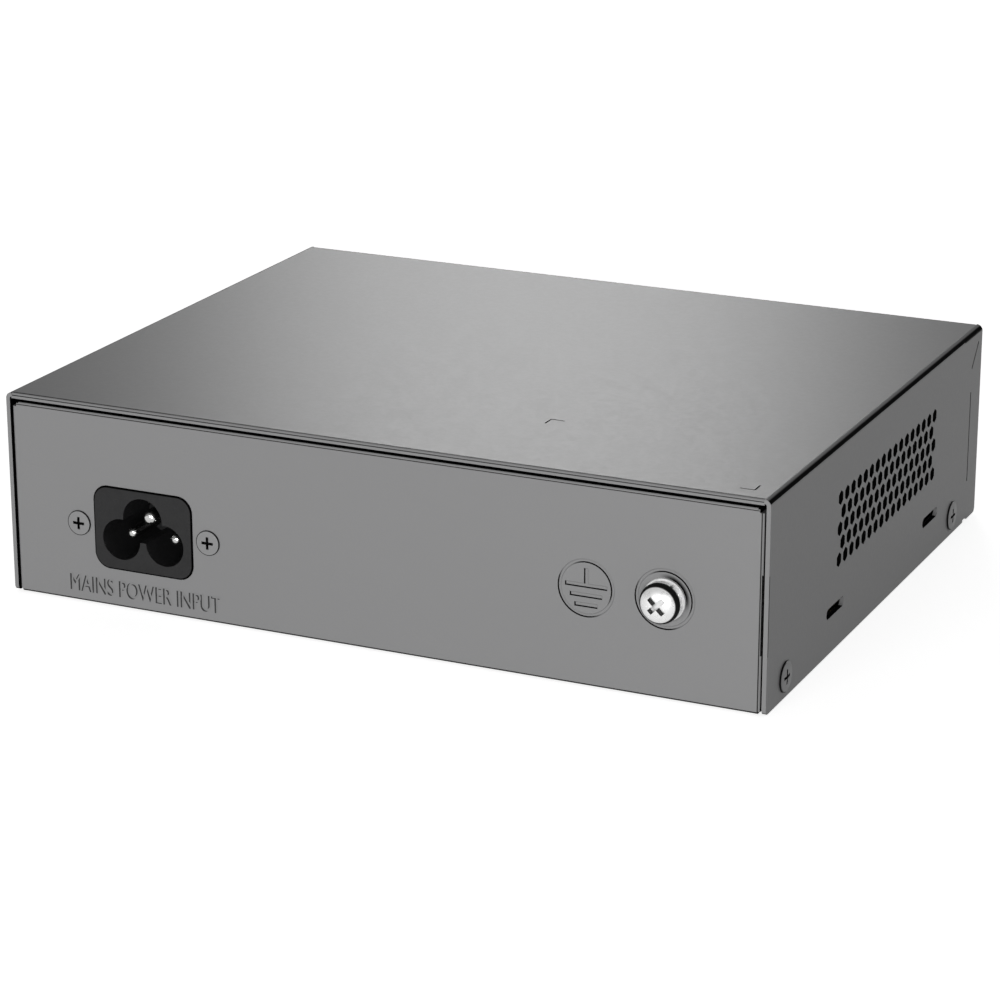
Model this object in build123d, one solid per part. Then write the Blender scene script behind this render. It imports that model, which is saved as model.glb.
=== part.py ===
from build123d import *
import math
import os

os.makedirs("parts", exist_ok=True)

# Power over ethernet switch in a folded steel case. Millimetres.
# X runs along the panels, Y from the front panel to the rear panel, Z up.
# The origin is at the bottom centre of the case.

# Case
case_w = 154.6
case_d = 123.1
case_h = 40.0
sheet_t = 0.8
over = 1.0

# Cover
cover_bend_r = 1.2
cover_lift = 0.05
cover_corner_r = 1.0
lip_h = 1.1
lip_bend_r = 0.5
foot_notch_w = 2.6
foot_notch_h = 0.5
foot_notch_from_front = 6.85

# Tray
tray_bend_r = 0.5
tray_side_gap = 0.35
panel_inset = 0.2
lip_gap = 0.65
panel_flange = 5.0
flange_relief = 0.5
floor_flange_h = 6.2
top_notch = 0.9
floor_notch = 0.5
cutout_gap = 0.2

# Pressed lines
press_depth = 0.2
press_w = 0.5
press_wall_angle = 45.0
mark_w = 48.8
mark_d = 23.0
mark_leg = 2.75
mark_from_end = 29.0
mark_from_rear = 15.75
mark_line = 0.35
side_line_from_front = 6.3
side_line_low = 8.45
side_line_from_top = 12.55
slant_reach = 4.0
slant_from_top = 2.9
slant_fall = 4.75

# Vents
vent_flats = 2.5
vent_pitch = 3.468
vent_columns = 17
vent_rows = 5
vent_y = -3.4
vent_z = 23.17

# Side slots
slot_len = 9.6
slot_w = 2.0
slot_spacing = 56.4
slot_y = -2.6
slot_z = 8.2

# Countersunk screws
screw_rim = 0.28
screw_proud = 0.45
screw_chamfer = 0.4
screw_gap = 0.05
recess_len_ratio = 0.5
recess_w = 0.55
recess_depth = 0.7
cover_screw_head_d = 5.8
cover_screw_d = 3.0
cover_screw_len = 5.0
cover_screw_from_rear = 9.59
cover_screw_from_front = 16.27
cover_screw_z = 4.1
inlet_screw_head_d = 4.9
inlet_screw_d = 2.9
inlet_screw_len = 7.6

# Mains inlet
inlet_from_end = 29.1
inlet_z = 15.85
inlet_w = 21.05
inlet_h = 16.25
inlet_proud = 0.25
inlet_corner_r = 3.0
inlet_screw_pitch = 28.0
inlet_flange_t = 2.4
inlet_flange_rim = 1.0
inlet_ear = 4.0
inlet_back_chamfer = 0.6
inlet_depth = 21.0
cavity_depth = 17.0
lobe_r = 4.06
lobe_half_pitch = 4.7
lobe_drop = 2.0
top_lobe_r = 4.2
top_lobe_rise = 2.5
bridge_drop = 2.1
pin_d = 2.3
pin_recess = 3.3
earth_pin_d = 2.9
earth_pin_recess = 1.85
earth_pin_rise = 2.2
pin_tail = 5.0
pin_tail_t = 0.8
nut_flats = 5.5
nut_t = 2.2

# Earth screw and symbol
earth_from_end = 19.45
earth_z = 18.87
earth_screw_d = 4.0
earth_head_d = 7.6
earth_head_h = 2.5
earth_head_rim = 1.7
earth_head_undercut = 0.3
earth_head_shoulder = 0.45
earth_crown_reach = 0.72
earth_crown_fall = 0.44
earth_tip_chamfer = 0.5
earth_recess_w = 1.0
earth_recess_depth = 1.4
earth_washer_d = 8.0
earth_washer_t = 0.6
lock_washer_d = 6.9
lock_washer_t = 1.0
lock_washer_split = 0.5
lock_split_angle = 60.0
washer_chamfer = 0.12
earth_screw_len = 9.0
earth_nut_flats = 7.0
earth_nut_t = 3.0
terminal_t = 0.8
terminal_w = 8.0
terminal_barrel = 6.0
barrel_wall = 0.6
ring_inner_r = 5.02
ring_w = 0.75
symbol_pitch = 15.08
symbol_z = 18.64
symbol_ring_r = 4.79
symbol_stroke = 0.86
symbol_bars = (8.21, 6.31, 4.52)
symbol_bar_rise = 0.48
symbol_bar_step = 1.84
symbol_stem_gap = 1.0

# Boards
board_t = 1.6
standoff_h = 6.0
standoff_d = 5.5
board_screw_d = 3.0
board_screw_head_d = 5.4
board_screw_head_h = 2.0
board_side_gap = 5.0
board_end_gap = 1.0
board_gap = 2.0
hole_margin = 5.0
board_corner_r = 1.0
insulator_t = 0.4
psu_depth = 34.0
psu_to_inlet = 1.5

# Network ports
port_pitch = 14.0
powered_ports = 4
uplink_ports = 2
powered_share = -0.17464
uplink_share = 0.16818
jack_depth = 21.3
jack_h = 12.9
jack_wall = 0.7
shield_t = 0.3
port_w = 11.9
port_h = 7.0
port_floor = 4.4
latch_w = 6.6
latch_h = 1.5
tongue_w = 3.4
tongue_h = 1.4
port_depth = 14.0
contact_count = 8
contact_pitch = 1.02
contact_t = 0.35
contact_len = 10.0
contact_fall = 1.9
contact_start = 2.0
contact_root = 2.0
window_gap = 0.25

# Lamps and light guide
lamp_d = 2.4
lamp_rise = 3.6
lamp_gap = 0.1
lamp_w = 1.6
lamp_h = 0.8
lamp_back = 2.6
lamp_proud = 0.3
guide_bar_y = 9.0
guide_bar_d = 2.0
power_lamp_from_end = 19.3

# Parts on the main board
magnetics_w = 11.5
magnetics_d = 9.0
magnetics_h = 5.6
magnetics_back = 7.0
magnetics_leads = 8
chip_row_back = 22.0
switch_chip_w = 14.0
switch_chip_h = 1.4
heatsink_w = 15.0
heatsink_h = 8.0
heatsink_fins = 6
heatsink_base = 1.6
fin_t = 0.9
controller_w = 10.0
controller_h = 1.1
inductor_w = 10.0
inductor_h = 4.2
inductor_offset = 19.0
inductor_corner_r = 1.5
inductor_pad = 0.6
inductor_pad_t = 0.8
crystal_len = 9.5
crystal_w = 3.8
crystal_h = 3.4
crystal_offset = 17.0
crystal_foot = 0.4
crystal_foot_t = 0.5
memory_w = 5.2
memory_h = 1.6
memory_offset = 18.0
lead_w = 0.4
lead_t = 0.5
lead_reach = 1.0
package_chamfer = 0.25
rail_cap_d = 8.0
rail_cap_h = 12.0
rail_cap_gap = 5.15
capacitor_gap = 1.0
can_groove_r = 0.6
can_groove_out = 0.25
can_score = 0.4

# Parts on the power supply board
fuse_d = 5.2
fuse_len = 20.0
fuse_clip_w = 5.0
fuse_clip_t = 0.6
fuse_glass_inset = 0.3
fuse_base_rim = 1.0
fuse_base_t = 1.0
fuse_lift = 1.2
x_cap_w = 18.0
x_cap_d = 7.0
x_cap_h = 14.0
x_cap_edge_r = 0.8
choke_d = 13.4
choke_bore = 6.0
choke_h = 8.0
choke_wire = 0.8
choke_turns = 7
choke_turn_angle = 18.0
bridge_w = 15.0
bridge_d = 4.0
bridge_h = 11.0
bridge_corner = 2.5
bulk_cap_d = 16.0
bulk_cap_h = 22.0
transformer_w = 23.0
transformer_d = 21.0
transformer_h = 20.0
transformer_foot = 2.6
core_leg = 4.0
core_middle = 6.6
core_depth = 11.0
winding_gap = 0.15
winding_corner_r = 2.0
output_cap_d = 9.0
output_cap_h = 18.0
sink_len = 24.0
sink_t = 2.0
sink_h = 20.0
device_w = 10.2
device_h = 15.0
device_t = 4.4
device_body_share = 0.6
device_tab_t = 1.3
device_leg = 3.5
device_leg_w = 0.8
device_leg_t = 0.7
device_leg_pitch = 2.54
socket_w = 8.0
socket_d = 6.0
socket_h = 8.0
socket_mouth = 2.6
socket_mouth_h = 1.0

# Wires
wire_d = 1.8
wire_pitch = 4.0
output_wire_rise = 9.0
mains_wire_lap = 3.0
mains_wire_drop = 2.5
earth_wire_d = 2.2
earth_wire_from_rear = 15.0

# Places that follow from the sizes above
cover_inner_w = case_w - 2 * sheet_t
inlet_x = case_w / 2 - inlet_from_end
earth_x = earth_from_end - case_w / 2
symbol_x = earth_x + symbol_pitch
tray_w = cover_inner_w - 2 * tray_side_gap
tray_d = case_d - 2 * panel_inset
tray_h = case_h - lip_h - lip_gap
rear_y = tray_d / 2
front_y = -tray_d / 2
board_z = sheet_t + standoff_h
board_top = board_z + board_t
board_half_w = tray_w / 2 - board_side_gap
powered_x = powered_share * case_w
uplink_x = uplink_share * case_w
power_lamp_x = case_w / 2 - power_lamp_from_end
psu_back_y = rear_y - inlet_depth - psu_to_inlet
psu_front_y = psu_back_y - psu_depth
psu_mid_y = (psu_front_y + psu_back_y) / 2
main_back_y = psu_front_y - board_gap
main_front_y = front_y + sheet_t + board_end_gap
jack_back_y = front_y + jack_depth
jack_top = board_top + jack_h + shield_t
lamp_z = jack_top + lamp_rise
lamp_y = jack_back_y + lamp_back
magnetics_y = lamp_y + magnetics_back + lamp_w / 2
chip_row_y = lamp_y + chip_row_back
rail_cap_y = chip_row_y + (rail_cap_d + capacitor_gap) / 2
barrel_r = earth_wire_d / 2 + barrel_wall
barrel_y = rear_y - sheet_t - barrel_r


def span(x0, x1, y0, y1, z0, z1):
    """Box between two limits on each axis."""
    centre = Pos((x0 + x1) / 2, (y0 + y1) / 2, (z0 + z1) / 2)
    return centre * Box(x1 - x0, y1 - y0, z1 - z0)


def on_rear(x, z, depth=0.0):
    """Place on the rear panel's outer face, or depth inside it, seen from behind."""
    return Location(Plane(origin=(x, rear_y - depth, z), x_dir=(-1, 0, 0), z_dir=(0, 1, 0)))


def on_front(x, z, depth=0.0):
    """Place on the front panel's outer face, or depth inside it, seen from the front."""
    return Location(Plane(origin=(x, front_y + depth, z), x_dir=(1, 0, 0), z_dir=(0, -1, 0)))


def on_side(side, y, z, depth=0.0):
    """Place on the cover's outer side face: side is 1 for +X and -1 for -X."""
    origin = (side * (case_w / 2 - depth), y, z)
    return Location(Plane(origin=origin, x_dir=(0, side, 0), z_dir=(side, 0, 0)))


def port_centres(middle, count):
    """X of each port in a block of count ports centred on middle."""
    return [middle + (i - (count - 1) / 2) * port_pitch for i in range(count)]


def cone_depth(head_d, shank_d):
    """Depth of a right-angled countersink, kept within the sheet."""
    return min((head_d - shank_d) / 2, sheet_t)


def countersink(place, head_d, shank_d, depth):
    """Tool for a countersunk hole: place is on the sheet's face, depth is how far it goes in."""
    sink = cone_depth(head_d, shank_d)
    cone = Cone(shank_d / 2 + screw_gap, head_d / 2 + screw_gap, sink)
    hole = Cylinder(shank_d / 2 + screw_gap, depth)
    mouth = Cylinder(head_d / 2 + screw_gap, over)
    tool = Pos(0, 0, -sink / 2) * cone + Pos(0, 0, -depth / 2) * hole + Pos(0, 0, over / 2) * mouth
    return place * tool


def countersunk_screw(place, head_d, shank_d, length):
    """Countersunk screw with a slightly raised head and a cross recess."""
    sink = cone_depth(head_d, shank_d)
    profile = Polyline(
        (0, -length),
        (shank_d / 2 - screw_chamfer, -length),
        (shank_d / 2, -length + screw_chamfer),
        (shank_d / 2, -sink),
        (head_d / 2, 0),
        (head_d / 2, screw_rim),
    )
    half_way = screw_rim + 0.75 * (screw_proud - screw_rim)
    dome = ThreePointArc((head_d / 2, screw_rim), (head_d / 4, half_way), (0, screw_proud))
    axis_line = Line((0, screw_proud), (0, -length))
    section = make_face(profile + dome + axis_line)
    screw = revolve(Plane.XZ * section, Axis.Z)
    arm = head_d * recess_len_ratio
    floor = screw_proud - recess_depth
    for turn in (0, 90):
        screw -= Rot(0, 0, turn) * span(-arm / 2, arm / 2, -recess_w / 2, recess_w / 2, floor, over)
    return place * screw


def hex_nut(place, flats, bore_d, thickness):
    """Hexagonal nut lying on a face, with its bore along the place's normal."""
    section = RegularPolygon(flats / math.sqrt(3), 6) - Circle(bore_d / 2 + screw_gap)
    nut = extrude(section, amount=thickness)
    return place * nut


def bend_radii(points):
    """Radius at each corner of a wire: 0.45 of the shorter run over the tangent of half the turn."""
    runs = [Vector(*b) - Vector(*a) for a, b in zip(points, points[1:])]
    radii = []
    for run, following in zip(runs, runs[1:]):
        half_turn = math.radians(run.get_angle(following) / 2)
        radii.append(0.45 * min(run.length, following.length) / math.tan(half_turn))
    return radii


def bent_tube(points, diameter):
    """Round wire along straight runs joined by arcs."""
    path = FilletPolyline(*points, radius=bend_radii(points))
    start = Plane(path @ 0, z_dir=path % 0)
    return sweep(start * Circle(diameter / 2), path=path)


def make_top_cover():
    """Folded cover: top, two sides and a lip at each end, with vents, slots and screw holes."""
    cover = span(-case_w / 2, case_w / 2, -case_d / 2, case_d / 2, cover_lift, case_h)
    cover = fillet(cover.edges().filter_by(Axis.Y).group_by(Axis.Z)[-1], cover_bend_r)
    inner = span(
        -cover_inner_w / 2,
        cover_inner_w / 2,
        -case_d / 2 - over,
        case_d / 2 + over,
        cover_lift - over,
        case_h - sheet_t,
    )
    inner = fillet(inner.edges().filter_by(Axis.Y).group_by(Axis.Z)[-1], cover_bend_r - sheet_t)
    cover -= inner

    lip_half = case_w / 2 - cover_bend_r
    for end in (1, -1):
        y_out = end * case_d / 2
        y_in = end * (case_d / 2 - sheet_t)
        cover += span(
            -lip_half,
            lip_half,
            min(y_out, y_in),
            max(y_out, y_in),
            case_h - lip_h,
            case_h - sheet_t,
        )
        cover -= make_lip_rounding(end)
    corners = cover.edges().filter_by(Axis.X).group_by(Axis.Z)[0]
    cover = fillet(corners, cover_corner_r)

    cover -= make_vent_tool()
    for y in (slot_y - slot_spacing / 2, slot_y + slot_spacing / 2):
        outline = on_side(1, y, slot_z) * SlotOverall(slot_len, slot_w)
        cover -= extrude(outline, amount=case_w + over, both=True)
    for side in (1, -1):
        for y in cover_screw_places():
            place = on_side(side, y, cover_screw_z)
            cover -= countersink(place, cover_screw_head_d, cover_screw_d, 2 * sheet_t)
        cover -= make_side_lines(side)
    foot_notch_y = foot_notch_from_front - case_d / 2
    cover -= span(
        -case_w,
        case_w,
        foot_notch_y - foot_notch_w / 2,
        foot_notch_y + foot_notch_w / 2,
        cover_lift - over,
        cover_lift + foot_notch_h,
    )
    cover -= make_label_marks()
    return cover


def make_lip_rounding(end):
    """Tool that rounds the bend of an end's lip, and stops where the side bends begin."""
    bend_len = case_w - 2 * cover_bend_r
    edge_y = end * case_d / 2
    corner = Pos(0, edge_y, case_h) * Box(bend_len, 2 * lip_bend_r, 2 * lip_bend_r)
    axis = Pos(0, edge_y - end * lip_bend_r, case_h - lip_bend_r) * Rot(0, 90, 0)
    return corner - axis * Cylinder(lip_bend_r, bend_len + over)


def cover_screw_places():
    """Y of the rear and the front cover screw."""
    return (case_d / 2 - cover_screw_from_rear, cover_screw_from_front - case_d / 2)


def make_vent_tool():
    """Staggered rows of hexagons with a point upwards, through both sides of the cover."""
    row_pitch = vent_pitch * math.sqrt(3) / 2
    hexagon = RegularPolygon(vent_flats / math.sqrt(3), 6, rotation=30)
    holes = []
    for row in range(vent_rows):
        count = vent_columns - row % 2
        for column in range(count):
            y = vent_y + (column - (count - 1) / 2) * vent_pitch
            z = vent_z + (row - (vent_rows - 1) / 2) * row_pitch
            holes.append(Pos(y, z) * hexagon)
    return extrude(Plane.YZ * (Sketch() + holes), amount=case_w, both=True)


def make_side_lines(side):
    """Fine pressed line near the front of a side: an upright and a short slanting stroke."""
    line_y = side_line_from_front - case_d / 2
    line_top = case_h - side_line_from_top
    line_len = line_top - side_line_low
    stroke = Box(press_w, line_len, 2 * press_depth)
    upright_line = on_side(side, line_y, side_line_low + line_len / 2) * stroke
    start = (line_y - slant_reach, case_h - slant_from_top)
    end = (line_y, case_h - slant_from_top - slant_fall)
    length = math.dist(start, end)
    angle = math.degrees(math.atan2(end[1] - start[1], side * (end[0] - start[0])))
    middle = ((start[0] + end[0]) / 2, (start[1] + end[1]) / 2)
    slant = on_side(side, middle[0], middle[1]) * Rot(0, 0, angle) * Box(length, press_w, 2 * press_depth)
    return upright_line + slant


def make_label_marks():
    """Two L-shaped corner marks of the bare label place on top."""
    marks = Part()
    mark_x = mark_from_end - case_w / 2
    mark_y = case_d / 2 - mark_from_rear
    for corner in (1, -1):
        x = mark_x + corner * mark_w / 2
        y = mark_y - corner * mark_d / 2
        along_x = Pos(x - corner * mark_leg / 2, y, case_h) * Box(mark_leg, mark_line, 2 * press_depth)
        along_y = Pos(x, y + corner * mark_leg / 2, case_h) * Box(mark_line, mark_leg, 2 * press_depth)
        marks += along_x + along_y
    return marks


def make_base_tray():
    """Folded tray: floor with low side flanges, front panel and rear panel with their own flanges."""
    tray = span(-tray_w / 2, tray_w / 2, front_y, rear_y, 0, tray_h)
    tray = fillet(tray.edges(), tray_bend_r)
    tray -= span(
        -tray_w / 2 + sheet_t,
        tray_w / 2 - sheet_t,
        front_y + sheet_t,
        rear_y - sheet_t,
        sheet_t,
        tray_h - sheet_t,
    )

    flange_y = tray_d / 2 - panel_flange
    tray -= span(-tray_w, tray_w, -flange_y, flange_y, floor_flange_h, tray_h + over)
    relief_y = flange_y - flange_relief
    for side in (1, -1):
        for end in (1, -1):
            notch_x = side * tray_w / 2
            notch_y = end * (relief_y + tray_d / 2 + over) / 2
            notch_d = tray_d / 2 + over - relief_y
            for z, notch in ((0, floor_notch), (tray_h, top_notch)):
                tray -= Pos(notch_x, notch_y, z) * Box(2 * notch, notch_d, 2 * notch)
            slit = Box(2 * (sheet_t + cutout_gap), flange_relief, floor_flange_h)
            tray -= Pos(notch_x, end * (flange_y - flange_relief / 2), floor_flange_h / 2) * slit
        for y in cover_screw_places():
            place = on_side(side, y, cover_screw_z, sheet_t)
            tray -= place * Cylinder(cover_screw_d / 2 + screw_gap, 4 * sheet_t)

    tray -= make_rear_cutouts()
    tray -= make_rear_lines()
    tray -= make_front_cutouts()
    return tray


def make_rear_cutouts():
    """Inlet opening, its two countersunk holes and the earth screw's hole."""
    opening_w = inlet_w + 2 * cutout_gap
    opening_h = inlet_h + 2 * cutout_gap
    opening = RectangleRounded(opening_w, opening_h, inlet_corner_r + cutout_gap)
    tool = extrude(on_rear(inlet_x, inlet_z) * opening, amount=2 * sheet_t, both=True)
    for x in inlet_screw_places():
        tool += countersink(on_rear(x, inlet_z), inlet_screw_head_d, inlet_screw_d, 2 * sheet_t)
    tool += on_rear(earth_x, earth_z) * Cylinder(earth_screw_d / 2 + screw_gap, 4 * sheet_t)
    return tool


def inlet_screw_places():
    """X of the two inlet screws."""
    return (inlet_x + inlet_screw_pitch / 2, inlet_x - inlet_screw_pitch / 2)


def make_rear_lines():
    """Shallow pressed lines: the ring round the earth screw and the earth symbol."""
    ring = Circle(ring_inner_r + ring_w) - Circle(ring_inner_r)
    tool = pressed(on_rear(earth_x, earth_z) * ring)

    symbol = Circle(symbol_ring_r + ring_w) - Circle(symbol_ring_r)
    for i, bar_len in enumerate(symbol_bars):
        symbol += Pos(0, symbol_bar_rise - i * symbol_bar_step) * Rectangle(bar_len, symbol_stroke)
    stem_h = symbol_ring_r - symbol_stem_gap - symbol_bar_rise
    symbol += Pos(0, symbol_bar_rise + stem_h / 2) * Rectangle(symbol_stroke, stem_h)
    tool += pressed(on_rear(symbol_x, symbol_z) * symbol)
    return tool


def pressed(outline):
    """Tool for a pressed line whose walls slope in from its outline."""
    return extrude(outline, amount=-press_depth, taper=press_wall_angle)


def make_front_cutouts():
    """Windows of the two port blocks, and lamp holes."""
    tool = Part()
    window_h = jack_h + shield_t + 2 * window_gap
    window_z = board_top + (jack_h + shield_t) / 2
    for middle, count in ((powered_x, powered_ports), (uplink_x, uplink_ports)):
        window_w = block_width(count) + 2 * (shield_t + window_gap)
        tool += on_front(middle, window_z) * Box(window_w, window_h, 4 * sheet_t)
    for x in lamp_places():
        tool += on_front(x, lamp_z) * Cylinder(lamp_d / 2 + lamp_gap, 4 * sheet_t)
    return tool


def lamp_places():
    """X of each lamp: one above every port, then the power lamp."""
    places = port_centres(powered_x, powered_ports) + port_centres(uplink_x, uplink_ports)
    return places + [power_lamp_x]


def block_width(count):
    """Width of a port block's plastic housing."""
    return count * port_pitch + jack_wall


def make_ac_inlet_body():
    """Black moulded inlet: a neck through the panel, an eared flange behind it, a cloverleaf cavity."""
    face = on_rear(inlet_x, inlet_z, -inlet_proud)
    neck = RectangleRounded(inlet_w, inlet_h, inlet_corner_r)
    body = extrude(face * neck, amount=-inlet_depth - inlet_proud)
    body = chamfer(body.edges().group_by(Axis.Y)[0], inlet_back_chamfer)
    flange_w = inlet_screw_pitch + 2 * inlet_ear
    flange = SlotOverall(flange_w, 2 * inlet_ear)
    rim = 2 * inlet_flange_rim
    flange += RectangleRounded(inlet_w + rim, inlet_h + rim, inlet_corner_r)
    body += extrude(on_rear(inlet_x, inlet_z, sheet_t) * flange, amount=-inlet_flange_t)
    body -= extrude(face * make_clover(), amount=-cavity_depth - inlet_proud)
    for x in inlet_screw_places():
        body -= on_rear(x, inlet_z, inlet_depth / 2) * Cylinder(inlet_screw_d / 2 + screw_gap, inlet_depth)
    for x, z, pin_width, recess in inlet_pins():
        hole = Cylinder(pin_width / 2, inlet_depth - cavity_depth + 2 * over)
        body -= on_rear(x, z, inlet_depth - over) * hole
    return body


def make_clover():
    """Outline of the inlet's cavity, round its centre: two lower lobes, a taller upper one."""
    clover = Pos(0, top_lobe_rise) * Circle(top_lobe_r)
    for side in (1, -1):
        clover += Pos(side * lobe_half_pitch, -lobe_drop) * Circle(lobe_r)
    bridge_h = top_lobe_rise + bridge_drop
    clover += Pos(0, (top_lobe_rise - bridge_drop) / 2) * Rectangle(2 * top_lobe_r, bridge_h)
    return clover


def inlet_pins():
    """X, Z, diameter and recess of each pin: two mains pins in the lower lobes, earth in the upper one."""
    pins = [(inlet_x + side * lobe_half_pitch, inlet_z - lobe_drop, pin_d, pin_recess) for side in (1, -1)]
    return pins + [(inlet_x, inlet_z + earth_pin_rise, earth_pin_d, earth_pin_recess)]


def make_inlet_pin(x, z, diameter, recess):
    """Round contact pin with a rounded tip, and a flat tail behind the body."""
    tail_start = inlet_depth
    length = tail_start - recess
    pin = on_rear(x, z, recess + length / 2) * Cylinder(diameter / 2, length)
    pin = fillet(pin.edges().group_by(Axis.Y)[-1], diameter * 0.4)
    tail = on_rear(x, z, tail_start + pin_tail / 2) * Box(diameter, pin_tail_t, pin_tail)
    return pin + tail


def make_inlet_screws():
    """The two countersunk screws of the inlet."""
    screws = [
        countersunk_screw(on_rear(x, inlet_z), inlet_screw_head_d, inlet_screw_d, inlet_screw_len)
        for x in inlet_screw_places()
    ]
    return Compound(children=screws)


def make_inlet_nuts():
    """The two nuts behind the inlet's ears."""
    depth = sheet_t + inlet_flange_t + nut_t
    places = [on_rear(x, inlet_z, depth) for x in inlet_screw_places()]
    return Compound(children=[hex_nut(place, nut_flats, inlet_screw_d, nut_t) for place in places])


def make_cover_screws():
    """The four countersunk screws of the cover."""
    places = [on_side(side, y, cover_screw_z) for side in (1, -1) for y in cover_screw_places()]
    sizes = (cover_screw_head_d, cover_screw_d, cover_screw_len)
    return Compound(children=[countersunk_screw(place, *sizes) for place in places])


def make_earth_screw():
    """Pan head screw: the head stands on the two washers, the shank goes through the panel."""
    seat = earth_washer_t + lock_washer_t
    rim = earth_head_d / 2
    foot = rim - earth_head_undercut
    shoulder = rim - earth_head_shoulder
    shoulder_top = seat + earth_head_rim
    top = seat + earth_head_h
    shank = earth_screw_d / 2
    tip = seat - earth_screw_len
    tip_r = shank - earth_tip_chamfer
    tip_top = tip + earth_tip_chamfer
    lower = Polyline((0, tip), (tip_r, tip), (shank, tip_top), (shank, seat), (foot, seat))
    side = ThreePointArc((foot, seat), (rim, seat + earth_head_rim / 2), (shoulder, shoulder_top))
    crown_mid = (earth_crown_reach * rim, top - earth_crown_fall * (top - shoulder_top))
    crown = ThreePointArc((shoulder, shoulder_top), crown_mid, (0, top))
    section = make_face(lower + side + crown + Line((0, top), (0, tip)))
    screw = revolve(Plane.XZ * section, Axis.Z)
    arm = earth_head_d * recess_len_ratio
    floor = top - earth_recess_depth
    for turn in (45, 135):
        recess = span(-arm / 2, arm / 2, -earth_recess_w / 2, earth_recess_w / 2, floor, top + over)
        screw -= Rot(0, 0, turn) * recess
    return on_rear(earth_x, earth_z) * screw


def make_earth_washer():
    """Flat washer against the panel."""
    ring = Circle(earth_washer_d / 2) - Circle(earth_screw_d / 2 + screw_gap)
    washer = extrude(ring, amount=earth_washer_t)
    rim = washer.edges().group_by(Axis.Z)[-1].sort_by(SortBy.RADIUS)[-1]
    washer = chamfer(rim, washer_chamfer)
    return on_rear(earth_x, earth_z) * washer


def make_earth_lock_washer():
    """Split spring washer on the flat one."""
    ring = Circle(lock_washer_d / 2) - Circle(earth_screw_d / 2 + screw_gap)
    split = Pos(lock_washer_d / 2, 0) * Rectangle(lock_washer_d, lock_washer_split)
    ring -= Rot(0, 0, lock_split_angle) * split
    washer = extrude(ring, amount=lock_washer_t)
    return on_rear(earth_x, earth_z) * Pos(0, 0, earth_washer_t) * washer


def make_earth_nut():
    """Nut that holds the ring terminal."""
    depth = sheet_t + terminal_t + earth_nut_t
    return hex_nut(on_rear(earth_x, earth_z, depth), earth_nut_flats, earth_screw_d, earth_nut_t)


def board_holes(y0, y1):
    """Screw places near a board's four corners."""
    x = board_half_w - hole_margin
    return [(side * x, y) for side in (1, -1) for y in (y0 + hole_margin, y1 - hole_margin)]


def all_board_holes():
    """Screw places of both boards."""
    return board_holes(main_front_y, main_back_y) + board_holes(psu_front_y, psu_back_y)


def make_board(y0, y1):
    """Circuit board with rounded corners and a screw hole near each corner."""
    outline = Pos(0, (y0 + y1) / 2) * RectangleRounded(2 * board_half_w, y1 - y0, board_corner_r)
    for x, y in board_holes(y0, y1):
        outline -= Pos(x, y) * Circle(board_screw_d / 2 + screw_gap)
    return extrude(Pos(0, 0, board_z) * outline, amount=board_t)


def make_board_standoffs():
    """Tubular posts on the tray's floor, one under each board screw."""
    ring = Circle(standoff_d / 2) - Circle(board_screw_d / 2 + screw_gap)
    post = extrude(ring, amount=standoff_h)
    return Compound(children=[Pos(x, y, sheet_t) * post for x, y in all_board_holes()])


def make_board_screws():
    """Pan head screws that hold the boards to the posts."""
    length = board_t + standoff_h - 1.0
    head = Pos(0, 0, board_screw_head_h / 2) * Cylinder(board_screw_head_d / 2, board_screw_head_h)
    head = fillet(head.edges().group_by(Axis.Z)[-1], board_screw_head_h * 0.45)
    screw = head + Pos(0, 0, -length / 2) * Cylinder(board_screw_d / 2, length)
    arm = board_screw_head_d * recess_len_ratio
    for turn in (0, 90):
        recess = Rot(0, 0, turn) * Box(arm, recess_w, 2 * recess_depth)
        screw -= Pos(0, 0, board_screw_head_h) * recess
    return Compound(children=[Pos(x, y, board_top) * screw for x, y in all_board_holes()])


def make_insulating_sheet():
    """Thin sheet on the floor under the power supply board, cut out round the posts."""
    y0 = psu_front_y
    y1 = psu_back_y
    outline = Pos(0, (y0 + y1) / 2) * Rectangle(2 * board_half_w, y1 - y0)
    for x, y in board_holes(y0, y1):
        outline -= Pos(x, y) * Circle(standoff_d / 2 + cutout_gap)
    return extrude(Pos(0, 0, sheet_t) * outline, amount=insulator_t)


def make_jack_housing(middle, count):
    """Plastic body of a port block with a stepped cavity for each plug."""
    half = block_width(count) / 2
    housing = span(middle - half, middle + half, front_y, jack_back_y, board_top, board_top + jack_h)
    for x in port_centres(middle, count):
        floor = board_top + port_floor
        for width, z0, z1 in (
            (port_w, floor, floor + port_h),
            (latch_w, floor - latch_h, floor + latch_h),
            (tongue_w, floor - latch_h - tongue_h, floor),
        ):
            housing -= span(x - width / 2, x + width / 2, front_y - over, front_y + port_depth, z0, z1)
    return housing


def make_jack_shield(middle, count):
    """Thin metal can over a port block: top, two ends and back."""
    half = block_width(count) / 2
    outer = span(
        middle - half - shield_t,
        middle + half + shield_t,
        front_y,
        jack_back_y + shield_t,
        board_top,
        jack_top,
    )
    inner = span(
        middle - half,
        middle + half,
        front_y - over,
        jack_back_y,
        board_top - over,
        board_top + jack_h,
    )
    return outer - inner


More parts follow.
